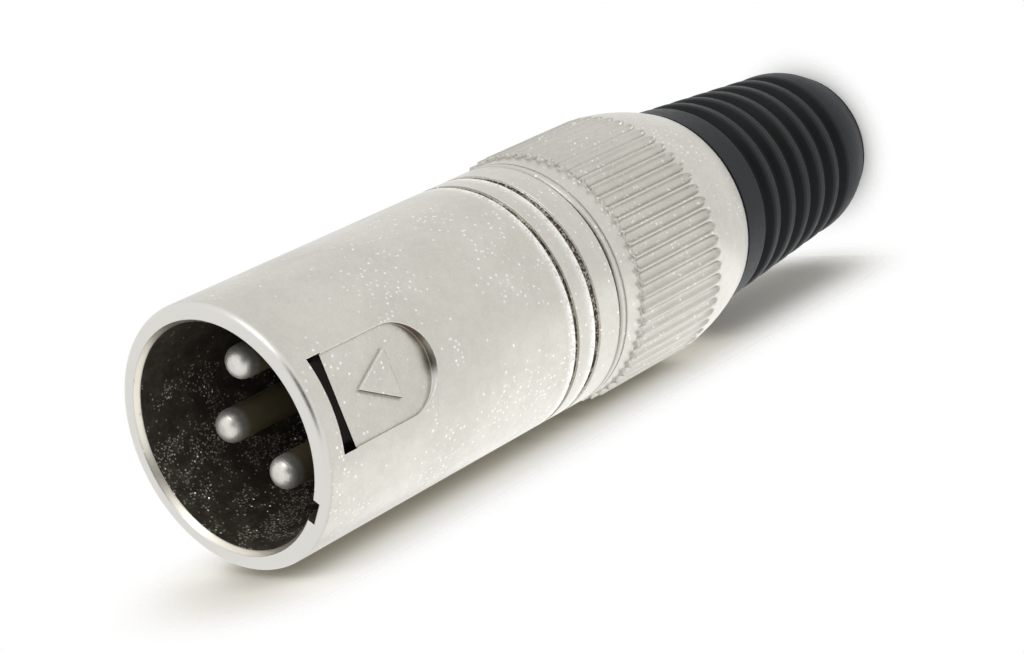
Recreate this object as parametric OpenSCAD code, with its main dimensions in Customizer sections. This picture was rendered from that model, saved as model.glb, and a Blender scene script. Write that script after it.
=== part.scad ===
// Three-pole cable plug: a die-cast shell with a mating socket, a pin insert, a cable
// clamp, and a fluted screw collar that carries a ribbed rubber boot.
// The plug stands on the cable end of its boot. The origin is the centre of that end,
// +Z runs along the axis to the mating rim, and the latch window faces -Y.
// Lengths are millimetres. A value whose name ends in _at is measured back from the rim.

/* [Shell] */
// Outer diameter of the shell
shell_d = 18.9; // [18.5:0.1:19.3]
// Visible length of the shell, from the rim to the collar
shell_len = 31.2; // [30.4:0.2:40]
// Wall of the shell round the mating socket
socket_wall = 1.4; // [1.2:0.05:1.6]
// Depth of the mating socket, from the rim to the seat of the insert
socket_depth = 14.8; // [12.6:0.2:16.2]
// Radius of the rounded outer rim
rim_round = 0.6; // [0.3:0.05:0.9]
// Lead-in chamfer at the mouth of the socket
mouth_chamfer = 0.3; // [0.1:0.05:0.4]
// Wall of the shell round the insert and the clamp
insert_wall = 2.1; // [2:0.05:2.3]
// How far the seat of the insert stands in from that bore
seat_lip = 0.6; // [0.4:0.1:1]
// Thickness of that seat
seat_thick = 0.8; // [0.5:0.1:1.2]
// Width of the rib that keeps the insert and the clamp from turning
key_rib_w = 1.2; // [0.8:0.1:1.8]
// Height of that rib
key_rib_h = 0.5; // [0.3:0.05:0.6]
// Width of the broken edges at the joint with the collar
edge_break = 0.15; // [0.05:0.05:0.3]

/* [Turned grooves] */
// Height of the first groove above the collar
groove_1_up = 2.7; // [1.6:0.1:3.4]
// Distance from the first groove to the second
groove_step = 2.4; // [1.4:0.1:4]
// Width of the first groove
groove_1_w = 0.7; // [0.3:0.05:0.9]
// Width of the second groove
groove_2_w = 0.5; // [0.3:0.05:0.8]
// Depth of both grooves
groove_depth = 0.26; // [0.15:0.01:0.4]

/* [Tail thread] */
// How far the thread's crests lie inside the shell's outside
thread_inset = 1.15; // [1:0.05:1.25]
// Distance from one thread ridge to the next
thread_pitch = 1; // [0.75:0.05:1.25]
// Depth of the thread
thread_depth = 0.35; // [0.2:0.05:0.45]
// Room between the end of the tail and the collar's cone
tail_gap = 2.5; // [0.8:0.1:3]
// How far the key rib starts inside the tail's end
key_rib_setback = 1; // [0.5:0.1:3]

/* [Latch window and thumb recess] */
// Place of the window's front edge
window_at = 1.8; // [1.4:0.1:2.4]
// Length of the window along the axis
window_len = 1.2; // [0.8:0.1:1.6]
// Width of the window and of the recess behind it
recess_w = 6.5; // [5:0.1:7.5]
// Place of the round rear end of the recess
recess_end_at = 11.85; // [10.5:0.05:14]
// Depth of the recess at its middle line
recess_depth = 0.7; // [0.5:0.01:0.8]
// Place of the arrow's point
arrow_at = 4.95; // [4.4:0.05:5.6]
// Length of the arrow
arrow_len = 3.25; // [2.4:0.05:3.6]
// Width of the arrow's base
arrow_w = 3.5; // [2.4:0.05:3.8]
// Height of the arrow above the floor of the recess
arrow_h = 0.25; // [0.1:0.01:0.4]

/* [Keyway in the socket] */
// Angle of the keyway from the latch window
keyway_angle = 45.7; // [40:0.1:70]
// Width of the keyway
keyway_w = 1.75; // [1:0.05:2]
// Depth of the keyway in the wall of the socket
keyway_depth = 0.8; // [0.4:0.05:0.9]
// Length of the keyway
keyway_len = 12; // [8:0.1:12.4]

/* [Contacts] */
// Diameter of a contact pin
pin_d = 2.4; // [2.2:0.05:2.6]
// Diameter of the circle that the pins stand on
pin_circle_d = 8.1; // [7.9:0.05:8.4]
// Angle of the first two pins from the latch window, each on its own side
pin_spread = 97.5; // [92:0.5:104]
// Place of the pins' tips
pin_tip_at = 3.6; // [3:0.1:4.4]
// How far the shank, in the insert, stands out from the pin
shank_step = 0.2; // [0.18:0.01:0.26]
// How far the stop flange stands out from the shank
flange_step = 0.2; // [0.15:0.01:0.3]
// Thickness of the stop flange
flange_len = 1.6; // [1:0.1:2.4]
// Height of the flange's seat above the insert's rear face
flange_up = 4.5; // [3:0.1:6]
// Radius of the pins' rounded tips
tip_round = 0.95; // [0.5:0.05:1]
// How far a solder cup's outside lies inside the flange
cup_inset = 0.1; // [0.05:0.01:0.15]
// Bore of a solder cup
cup_bore_d = 2; // [1.6:0.05:2.05]
// How far a solder cup ends ahead of the fins
cup_setback = 0.4; // [0.2:0.1:1.4]
// Thickness of the floor of a solder cup, at the insert
cup_floor = 0.4; // [0.2:0.1:1]

/* [Insert] */
// Length of the insert's body behind its seat
insert_len = 9; // [8.6:0.1:9.6]
// Length of the partition fins behind the body
fin_len = 5.4; // [4.4:0.1:5.6]
// Thickness of a partition fin
fin_t = 0.9; // [0.7:0.05:1.1]

/* [Shell contact] */
// Thickness of the contact strip
strip_t = 0.3; // [0.2:0.02:0.36]
// Width of the contact strip
strip_w = 2; // [1.6:0.1:2.4]
// Height of the spring hump that presses on the shell
hump_h = 0.35; // [0.2:0.01:0.38]
// How far the strip's solder tag ends ahead of the fins
tag_setback = 1; // [0.4:0.1:1.8]
// Angle of the strip from the latch window
strip_angle = 60; // [56:1:66]

/* [Cable clamp] */
// Wall of the clamp
clamp_wall = 3.05; // [2.8:0.05:3.3]
// Length of the clamp's closed ring
clamp_ring_len = 3.6; // [2.6:0.1:4.4]
// How far the jaws' tips reach behind the collar's cone
jaw_reach = 1.4; // [0.6:0.1:1.8]
// Width of the slots between the jaws
jaw_slot = 1.4; // [1:0.1:2]
// Number of jaws
jaw_count = 4; // [4:2:6]
// Height of the teeth inside the jaws
tooth_h = 0.5; // [0.3:0.05:0.7]
// Distance from tooth to tooth
tooth_pitch = 1.6; // [1.2:0.1:2]

/* [Collar] */
// Length of the collar
collar_len = 17.7; // [17:0.1:19]
// Height of the crests between the flutes
crest_h = 0.4; // [0.25:0.05:0.6]
// Length of the plain band ahead of the flutes
band_len = 2.4; // [1.6:0.1:3]
// Distance of the fine turned line from the front edge
line_from_front = 0.6; // [0.4:0.05:1]
// Width of that line
line_w = 0.16; // [0.1:0.01:0.24]
// Length of the flutes
flute_len = 9.6; // [8:0.1:10]
// Length over which a flute runs out at its rear end
flute_runout = 0.9; // [0.5:0.1:1.4]
// Number of flutes
flute_count = 60; // [40:2:64]
// Width of the crest left between two flutes
crest_w = 0.12; // [0.08:0.01:0.3]
// How far the collar's rear edge lies inside the shell's outside
rear_inset = 0.9; // [0.7:0.05:1.1]
// Bulge of the curve behind the flutes
rear_bulge = 0.2; // [0.1:0.02:0.4]
// Length of the cone that closes the jaws
cone_len = 3; // [2.4:0.1:3.4]
// How far the cone reaches in from the threaded bore
cone_depth = 1.8; // [1.6:0.05:2]
// Thickness of the web behind the cone
web_t = 1; // [0.6:0.1:1.6]
// Thickness of the rear lip that holds the boot
lip_t = 1.6; // [1.2:0.1:2]
// Wall of the rear lip, from the collar's rear edge to its opening
lip_wall = 1.25; // [1.1:0.05:1.4]
// Thickness of the boot's inner flange
boot_flange_t = 1.9; // [1.4:0.1:2.2]
// Width of the seat on which that flange bears, each side
boot_flange_w = 0.8; // [0.5:0.05:0.9]

/* [Boot] */
// Visible length of the boot
boot_len = 21.1; // [20.5:0.1:30]
// How far the boot's outside lies inside the collar's rear edge
boot_step = 0.15; // [0.05:0.05:0.4]
// Diameter over the last rib
last_rib_d = 14.3; // [13.4:0.1:15]
// Length of the plain stretch ahead of the first groove
boot_plain_len = 2.7; // [2:0.1:4]
// Number of grooves between the ribs
rib_groove_count = 6; // [4:1:7]
// Distance from groove to groove
rib_pitch = 2.42; // [2.1:0.02:2.5]
// Depth of the grooves
rib_groove_depth = 0.65; // [0.4:0.05:0.9]
// Width of the grooves
rib_groove_w = 1.9; // [1.4:0.05:2]
// Diameter of the cable end
boot_end_d = 12; // [11.2:0.1:12.6]
// Bulge of the plain stretch behind the last groove
end_bulge = 0.3; // [0.1:0.05:0.6]
// Radius of the rounded cable end
boot_end_round = 0.6; // [0.3:0.05:1]
// Bore for the cable
cable_bore_d = 6.6; // [5.6:0.1:7.4]
// Wall of the boot's neck round the jaws
neck_wall = 1.3; // [1.1:0.05:1.45]
// Depth of the cavity round the jaws, behind the collar
cavity_len = 1.5; // [0.5:0.1:4]
// Length of the funnel from that cavity to the cable bore
funnel_len = 8.7; // [4:0.1:12]
// Chamfer at the mouth of the cable bore
cable_mouth = 0.5; // [0.2:0.05:0.8]

/* [Fits] */
// Radial clearance of the insert in the shell
insert_fit = 0.05; // [0.02:0.01:0.1]
// Radial clearance of a contact in the insert
pin_fit = 0.02; // [0.01:0.01:0.05]
// Radial clearance of the clamp in the shell
clamp_fit = 0.1; // [0.05:0.01:0.2]
// Radial clearance of the screw thread
thread_fit = 0.1; // [0.05:0.01:0.2]
// Clearance between the jaws and the cone when screwed home
clamp_clear = 0.3; // [0.2:0.02:0.4]
// Radial clearance of the boot's neck and flange in the collar
boot_fit = 0.1; // [0.05:0.01:0.2]
// Axial gap at the joint of the shell and the collar, and at the other end faces
end_gap = 0.1; // [0.05:0.01:0.2]

/* [Hidden] */
$fn = 64;
turned_fn = 96;
small_fn = 32;
flute_fn = 24;
eps = 0.01;

// How far a cutting tool runs past the face that it cuts
reach = 1;
// How deep a raised rib or arrow is sunk into what carries it
root = 0.3;
// How far the window's sides stand outside the sides of the recess
window_margin = 0.03;
// Room between the fins and the key rib, and least wall between the core and the flanges
fin_clear = 0.2;
core_clear = 0.4;
// Shell contact: its front end below the seat, its hump, and its step over the insert's edge
strip_setback = 1.2;
hump_start = 0.8;
hump_len = 4;
step_up = 0.2;
step_in = 0.7;
step_len = 1;
strip_side = 0.1;
// Jaws: the plain stretch at the tip, the two plain ends together, and the chamfer at the tip
tooth_start = 1;
tooth_ends = 2;
jaw_mouth = 0.3;
// Parts of the pitch at which a tooth has risen, starts to fall and has fallen
tooth_rise = 0.7;
tooth_crest = 0.8;
tooth_fall = 0.9;
// Steps in which the curve across a boot groove is drawn
rib_steps = 8;

// Radii, from the shell's outside inwards
shell_r = shell_d / 2;
socket_r = shell_r - socket_wall;
insert_bore_r = shell_r - insert_wall;
seat_r = insert_bore_r - seat_lip;
insert_r = insert_bore_r - insert_fit;
nose_r = seat_r - insert_fit;
thread_r = shell_r - thread_inset;
thread_root_r = thread_r - thread_depth;
thread_bore_r = thread_r + thread_fit;
web_bore_r = thread_bore_r - cone_depth;
crest_r = shell_r + crest_h;
rear_r = shell_r - rear_inset;
lip_bore_r = rear_r - lip_wall;
pocket_r = lip_bore_r + boot_flange_w;
boot_r = rear_r - boot_step;
neck_r = lip_bore_r - boot_fit;
boot_flange_r = pocket_r - boot_fit;
cavity_r = neck_r - neck_wall;
clamp_r = insert_bore_r - clamp_fit;
clamp_bore_r = clamp_r - clamp_wall;
cable_bore_r = cable_bore_d / 2;
pin_circle_r = pin_circle_d / 2;
pin_r = pin_d / 2;
shank_r = pin_r + shank_step;
flange_r = shank_r + flange_step;
cup_r = flange_r - cup_inset;

// Heights, from the cable end upwards
collar_rear_z = boot_len;
lip_top_z = collar_rear_z + lip_t;
boot_flange_z = lip_top_z + end_gap;
boot_top_z = boot_flange_z + boot_flange_t;
pocket_top_z = boot_top_z + end_gap;
web_top_z = pocket_top_z + web_t;
cone_top_z = web_top_z + cone_len;
jaw_tip_z = web_top_z - jaw_reach;
tail_z = cone_top_z + tail_gap;
shoulder_z = collar_rear_z + collar_len;
tail_len = shoulder_z - tail_z;
collar_top_z = shoulder_z - end_gap;
flute_top_z = collar_top_z - band_len;
flute_end_z = flute_top_z - flute_len;

// Heights, from the rim downwards
rim_z = shoulder_z + shell_len;
seat_z = rim_z - socket_depth - seat_thick;
nose_z = seat_z + seat_thick - end_gap;
insert_rear_z = seat_z - insert_len;
fin_rear_z = insert_rear_z - fin_len;
clamp_top_z = fin_rear_z - end_gap;
clamp_ring_z = clamp_top_z - clamp_ring_len;
jaw_len = clamp_ring_z - jaw_tip_z;

// Turned and folded details
mouth_chamfer_len = 1.6 * mouth_chamfer;
thread_flank = 0.6 * thread_depth;
line_depth = 0.8 * line_w;
scoop_off = 0.2 * cup_r;
strip_back_r = insert_bore_r - end_gap - hump_h - strip_t;
strip_front_z = seat_z - strip_setback;
tag_z = fin_rear_z + tag_setback;
tag_hole_d = 0.5 * strip_w;

// Grooves of the boot
first_groove_z = collar_rear_z - boot_plain_len - rib_groove_w / 2;
last_groove_z = first_groove_z - (rib_groove_count - 1) * rib_pitch;

// Angles
cone_tilt = atan(cone_depth / cone_len);
window_half = atan((recess_w / 2 + window_margin) / (shell_r - recess_depth));
pin_off = 180 - pin_spread;
pin_angles = [90 - pin_off, 90 + pin_off, 90];

// The tool that leaves crests of crest_w between flutes of the crests' full depth
flute_chord = 2 * PI * crest_r / flute_count - crest_w;
flute_tool_r = (pow(flute_chord / 2, 2) + pow(crest_h, 2)) / (2 * crest_h);

// Points of an arc, counted evenly from angle a to angle b
function arc(cx, cy, r, a, b, n = 8) =
    [for (i = [0 : n]) let (t = a + (b - a) * i / n) [cx + r * cos(t), cy + r * sin(t)]];

// A shallow round-bottomed groove in a wall of radius r, met from below
function groove(r, z, w, depth, n = 6) =
    [for (i = [0 : n]) let (t = 180 * i / n) [r - depth * sin(t), z - w / 2 * cos(t)]];

// A bowed line from (r1, z1) to (r2, z2) that stands out by bulge at its middle
function bowed(r1, z1, r2, z2, bulge, n = 8) =
    [for (i = [0 : n]) let (t = i / n) [r1 + (r2 - r1) * t + bulge * 4 * t * (1 - t), z1 + (z2 - z1) * t]];

// Turns a child from the +X side to an angle measured from the latch window
module at_window_angle(a) rotate([0, 0, a - 90]) children();

// Shell

// Ridges of the tail's thread, from the tail's end up to the run-out at the shoulder
function thread_ridges() =
    let (n = floor((tail_len - thread_pitch) / thread_pitch))
    [for (i = [0 : n - 1]) let (z = tail_z + thread_depth + i * thread_pitch)
        each [[thread_root_r, z], [thread_r, z + thread_flank],
              [thread_r, z + thread_pitch / 2], [thread_root_r, z + thread_pitch / 2 + thread_flank]]];

module shell_body() {
    rotate_extrude($fn = turned_fn) polygon(concat(
        [[insert_bore_r, tail_z], [thread_root_r, tail_z]],
        thread_ridges(),
        [[thread_root_r, shoulder_z], [shell_r - edge_break, shoulder_z],
         [shell_r, shoulder_z + edge_break]],
        groove(shell_r, shoulder_z + groove_1_up, groove_1_w, groove_depth),
        groove(shell_r, shoulder_z + groove_1_up + groove_step, groove_2_w, groove_depth),
        arc(shell_r - rim_round, rim_z - rim_round, rim_round, 0, 90),
        [[socket_r + mouth_chamfer, rim_z], [socket_r, rim_z - mouth_chamfer_len],
         [socket_r, rim_z - socket_depth], [seat_r, rim_z - socket_depth],
         [seat_r, seat_z], [insert_bore_r, seat_z]]));
}

// Curved window through the wall, behind the rim
module latch_window() {
    rotate([0, 0, -90 - window_half])
        rotate_extrude(angle = 2 * window_half, $fn = turned_fn)
            translate([socket_r - reach, rim_z - window_at - window_len])
                square([socket_wall + 2 * reach, window_len]);
}

// Flat-floored thumb recess with a round rear end
module thumb_recess() {
    front_z = rim_z - window_at - window_len / 2;
    centre_z = rim_z - recess_end_at + recess_w / 2;
    translate([0, recess_depth - shell_r, 0]) rotate([90, 0, 0]) linear_extrude(shell_r) {
        translate([-recess_w / 2, centre_z]) square([recess_w, front_z - centre_z]);
        translate([0, centre_z]) circle(d = recess_w);
    }
}

// Raised arrow on the floor of the recess, its point towards the rim
module arrow() {
    base_z = rim_z - arrow_at - arrow_len;
    translate([0, recess_depth - shell_r + root, 0]) rotate([90, 0, 0]) linear_extrude(arrow_h + root)
        polygon([[-arrow_w / 2, base_z], [arrow_w / 2, base_z], [0, rim_z - arrow_at]]);
}

// Rib along the rear bore, opposite the window, for the slots of the insert and the clamp
module key_rib() {
    foot_z = tail_z + key_rib_setback;
    translate([-key_rib_w / 2, insert_bore_r - key_rib_h, foot_z])
        cube([key_rib_w, key_rib_h + root, seat_z + eps - foot_z]);
}

module shell() {
    color("gainsboro") {
        difference() {
            shell_body();
            thumb_recess();
            latch_window();
            at_window_angle(-keyway_angle) translate([0, -keyway_w / 2, rim_z - keyway_len])
                cube([socket_r + keyway_depth, keyway_w, keyway_len + reach]);
        }
        arrow();
        key_rib();
    }
}

// Insert

// Bore for one contact, stepped for its stop flange
module contact_bore() {
    translate([0, 0, insert_rear_z - reach])
        cylinder(r = shank_r + pin_fit, h = insert_len + seat_thick + 2 * reach);
    translate([0, 0, insert_rear_z - reach]) cylinder(r = flange_r + pin_fit, h = reach + flange_up);
}

module insert() {
    fin_r = insert_r - key_rib_h - fin_clear;
    core_r = pin_circle_r - flange_r - core_clear;
    fin_angles = [-90, 90 - pin_off / 2, 90 + pin_off / 2];
    color("dimgray") difference() {
        union() {
            rotate_extrude() polygon([
                [0, insert_rear_z], [insert_r, insert_rear_z], [insert_r, seat_z - end_gap],
                [nose_r, seat_z - end_gap], [nose_r, nose_z], [0, nose_z]]);
            translate([0, 0, fin_rear_z]) cylinder(r = core_r, h = fin_len + reach);
            for (a = fin_angles) rotate([0, 0, a]) translate([0, -fin_t / 2, fin_rear_z])
                cube([fin_r, fin_t, fin_len + reach]);
        }
        for (a = pin_angles) rotate([0, 0, a]) translate([pin_circle_r, 0, 0]) contact_bore();
        translate([-key_rib_w / 2 - insert_fit, insert_r - key_rib_h - insert_fit, insert_rear_z - reach])
            cube([key_rib_w + 2 * insert_fit, insert_r, insert_len + reach + seat_thick]);
        strip_pocket();
    }
}

// Contacts

// A turned contact: domed pin, shank flush with the insert's nose, stop flange and scooped cup
module contact(angle) {
    tip_z = rim_z - pin_tip_at;
    flange_top = insert_rear_z + flange_up - end_gap;
    cup_z = fin_rear_z + cup_setback;
    cup_bore_top = insert_rear_z - cup_floor;
    scoop_top = insert_rear_z - 2 * cup_floor - pin_r / 2;
    color("silver") rotate([0, 0, angle]) translate([pin_circle_r, 0, 0]) difference() {
        rotate_extrude($fn = small_fn) polygon(concat(
            [[0, cup_z], [cup_r, cup_z], [cup_r, flange_top - flange_len],
             [flange_r, flange_top - flange_len], [flange_r, flange_top], [shank_r, flange_top],
             [shank_r, nose_z], [pin_r, nose_z]],
            arc(pin_r - tip_round, tip_z - tip_round, tip_round, 0, 90),
            [[0, tip_z]]));
        translate([0, 0, cup_z - reach])
            cylinder(d = cup_bore_d, h = cup_bore_top - cup_z + reach, $fn = small_fn);
        translate([scoop_off, -cup_r - reach, cup_z - reach])
            cube([cup_r + reach, 2 * (cup_r + reach), scoop_top - cup_z + reach]);
    }
}

module pin_1() contact(pin_angles[0]);
module pin_2() contact(pin_angles[1]);
module pin_3() contact(pin_angles[2]);

// Shell contact

// Side view of the folded strip: hump, straight leg, step over the insert's edge, and tag
function strip_line(offset) = concat(
    [[strip_back_r + offset, strip_front_z]],
    [for (i = [0 : 8]) let (t = i / 8)
        [strip_back_r + offset + hump_h * sin(180 * t), strip_front_z - hump_start - hump_len * t]],
    [[strip_back_r + offset, insert_rear_z - step_up],
     [strip_back_r + offset - step_in, insert_rear_z - step_up - step_len],
     [strip_back_r + offset - step_in, tag_z]]);

module shell_contact() {
    outer = strip_line(strip_t);
    inner = strip_line(0);
    n = len(inner);
    color("goldenrod") at_window_angle(strip_angle) difference() {
        rotate([90, 0, 0]) translate([0, 0, -strip_w / 2]) linear_extrude(strip_w)
            polygon(concat(outer, [for (i = [n - 1 : -1 : 0]) inner[i]]));
        translate([0, 0, tag_z + strip_w / 2]) rotate([0, 90, 0]) cylinder(d = tag_hole_d, h = insert_r);
    }
}

// Pocket in the insert that holds the strip
module strip_pocket() {
    at_window_angle(strip_angle)
        translate([strip_back_r - end_gap, -strip_w / 2 - strip_side, insert_rear_z - reach])
            cube([insert_r, strip_w + 2 * strip_side, strip_front_z + strip_side + reach - insert_rear_z]);
}

// Cable clamp

// The collar's cone, as the radius at a height below its top
function cone_r(z) = thread_bore_r - (cone_top_z - z) * (thread_bore_r - web_bore_r) / cone_len;

// Inner edge of the jaws: a row of sawteeth, from the tip up
function jaw_teeth() =
    let (n = floor((jaw_len - tooth_ends) / tooth_pitch))
    [for (i = [0 : n - 1]) let (z = jaw_tip_z + tooth_start + i * tooth_pitch)
        each [[clamp_bore_r, z], [clamp_bore_r - tooth_h, z + tooth_pitch * tooth_rise],
              [clamp_bore_r - tooth_h, z + tooth_pitch * tooth_crest],
              [clamp_bore_r, z + tooth_pitch * tooth_fall]]];

module cable_clamp() {
    // The jaws' taper runs beside the cone, clear of it by clamp_clear
    inset = clamp_clear / cos(cone_tilt);
    taper_z = cone_top_z - (thread_bore_r - inset - clamp_r) * cone_len / (thread_bore_r - web_bore_r);
    tip_r = cone_r(jaw_tip_z) - inset;
    teeth = jaw_teeth();
    color("whitesmoke") difference() {
        rotate_extrude() polygon(concat(
            [[clamp_bore_r + jaw_mouth, jaw_tip_z], [tip_r, jaw_tip_z], [clamp_r, taper_z],
             [clamp_r, clamp_top_z], [clamp_bore_r, clamp_top_z]],
            [for (p = [len(teeth) - 1 : -1 : 0]) teeth[p]]));
        for (i = [0 : jaw_count / 2 - 1])
            rotate([0, 0, (i + 0.5) * 360 / jaw_count])
                translate([-insert_bore_r - reach, -jaw_slot / 2, jaw_tip_z - reach])
                    cube([2 * (insert_bore_r + reach), jaw_slot, jaw_len + reach]);
        translate([-key_rib_w / 2 - clamp_fit, clamp_r - key_rib_h - clamp_fit, jaw_tip_z - reach])
            cube([key_rib_w + 2 * clamp_fit, clamp_r, clamp_top_z - jaw_tip_z + 2 * reach]);
    }
}

// Collar

// One flute: a cutter laid along the axis, its drawn-out round nose at the rear
module flute_cutter() {
    r = flute_tool_r;
    translate([shell_r + r, 0, 0]) rotate_extrude($fn = flute_fn) polygon(concat(
        [[0, flute_top_z + reach], [r, flute_top_z + reach]],
        [for (p = arc(0, 0, 1, 0, -90)) [r * p[0], flute_end_z + flute_runout * (1 + p[1])]]));
}

module collar() {
    color("gainsboro") difference() {
        rotate_extrude($fn = turned_fn) polygon(concat(
            [[lip_bore_r, collar_rear_z], [rear_r - edge_break, collar_rear_z]],
            bowed(rear_r, collar_rear_z + edge_break, crest_r, flute_end_z - edge_break, rear_bulge),
            [[crest_r, flute_top_z], [shell_r, flute_top_z + edge_break]],
            groove(shell_r, collar_top_z - line_from_front, line_w, line_depth),
            [[shell_r, collar_top_z - edge_break], [shell_r - edge_break, collar_top_z],
             [thread_bore_r + thread_depth, collar_top_z], [thread_bore_r, collar_top_z - thread_depth],
             [thread_bore_r, cone_top_z], [web_bore_r, web_top_z], [web_bore_r, pocket_top_z],
             [pocket_r, pocket_top_z], [pocket_r, lip_top_z], [lip_bore_r, lip_top_z]]));
        for (i = [0 : flute_count - 1]) rotate([0, 0, 360 * i / flute_count]) flute_cutter();
    }
}

// Boot

// Radius over the ribs at a height, tapering from the collar to the last rib
function rib_r(z) =
    boot_r + (last_rib_d / 2 - boot_r) * (collar_rear_z - z) / (collar_rear_z - last_groove_z);

// Outer line of the ribs, from the last groove up: soft grooves with crowned ribs between
function rib_line() =
    [for (i = [rib_groove_count - 1 : -1 : 0]) let (z = first_groove_z - i * rib_pitch)
        for (k = [0 : rib_steps]) let (t = k / rib_steps, zz = z + (t - 0.5) * rib_groove_w)
            [rib_r(zz) - rib_groove_depth * pow(sin(180 * t), 2), zz]];

module boot() {
    end_r = boot_end_d / 2;
    end_top_z = last_groove_z - rib_groove_w / 2;
    cavity_z = collar_rear_z - cavity_len;
    color([0.12, 0.12, 0.13]) rotate_extrude($fn = turned_fn) polygon(concat(
        [[cable_bore_r + cable_mouth, 0]],
        arc(end_r - boot_end_round, boot_end_round, boot_end_round, -90, 0),
        bowed(end_r, boot_end_round + eps, rib_r(end_top_z), end_top_z - eps, end_bulge),
        rib_line(),
        [[boot_r, collar_rear_z - end_gap - edge_break], [boot_r - edge_break, collar_rear_z - end_gap],
         [neck_r, collar_rear_z - end_gap], [neck_r, boot_flange_z], [boot_flange_r, boot_flange_z],
         [boot_flange_r, boot_top_z], [cavity_r, boot_top_z],
         [cavity_r, cavity_z], [cable_bore_r, cavity_z - funnel_len],
         [cable_bore_r, cable_mouth]]));
}

shell();
insert();
pin_1();
pin_2();
pin_3();
shell_contact();
cable_clamp();
collar();
boot();
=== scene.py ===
"""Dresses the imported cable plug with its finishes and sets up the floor, light and camera."""
import logging
import math
from dataclasses import dataclass, field, replace
from enum import Enum

import bpy
from mathutils import Matrix, Vector


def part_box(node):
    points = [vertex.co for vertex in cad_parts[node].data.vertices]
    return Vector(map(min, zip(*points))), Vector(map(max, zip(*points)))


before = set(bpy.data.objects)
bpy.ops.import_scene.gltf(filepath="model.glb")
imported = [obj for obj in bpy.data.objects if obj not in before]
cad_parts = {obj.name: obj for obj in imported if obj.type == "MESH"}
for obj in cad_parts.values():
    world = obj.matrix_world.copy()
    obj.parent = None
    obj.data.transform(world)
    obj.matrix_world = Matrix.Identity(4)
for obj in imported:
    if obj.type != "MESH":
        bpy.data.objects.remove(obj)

LOG = logging.getLogger("plug")

# Metres in a millimetre
MM = 0.001
# The plug's axis, towards the rim
AXIS = (0.0, 0.0, 1.0)
# Across that axis, upward in the photograph
PHOTO_UP = Vector((0.979, -0.203, 0.0))
# Colour with its alpha, as the shader sockets take it
Colour = tuple[float, float, float, float]
# A direction, and the two ends of a range
Way = tuple[float, float, float]
Span = tuple[float, float]
# A shared effect's inputs, by name
Inputs = dict[str, float]
Socket = bpy.types.NodeSocket


def rgb(red: float, green: float, blue: float) -> Colour:
    """Returns an opaque linear colour."""
    return (red, green, blue, 1.0)


def setting(**values: float) -> Inputs:
    """Returns a dataclass field that holds an effect's inputs."""
    return field(default_factory=lambda: dict(values))


def at_mm(x: float, y: float, z: float) -> Vector:
    """Returns a dataclass field that holds a place given in millimetres."""
    return field(default_factory=lambda: Vector((x, y, z)) * MM)


def surface_of(made: bpy.types.Material) -> bpy.types.Node:
    """Returns a material's surface shader."""
    return made.node_tree.nodes["Principled BSDF"]


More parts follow.
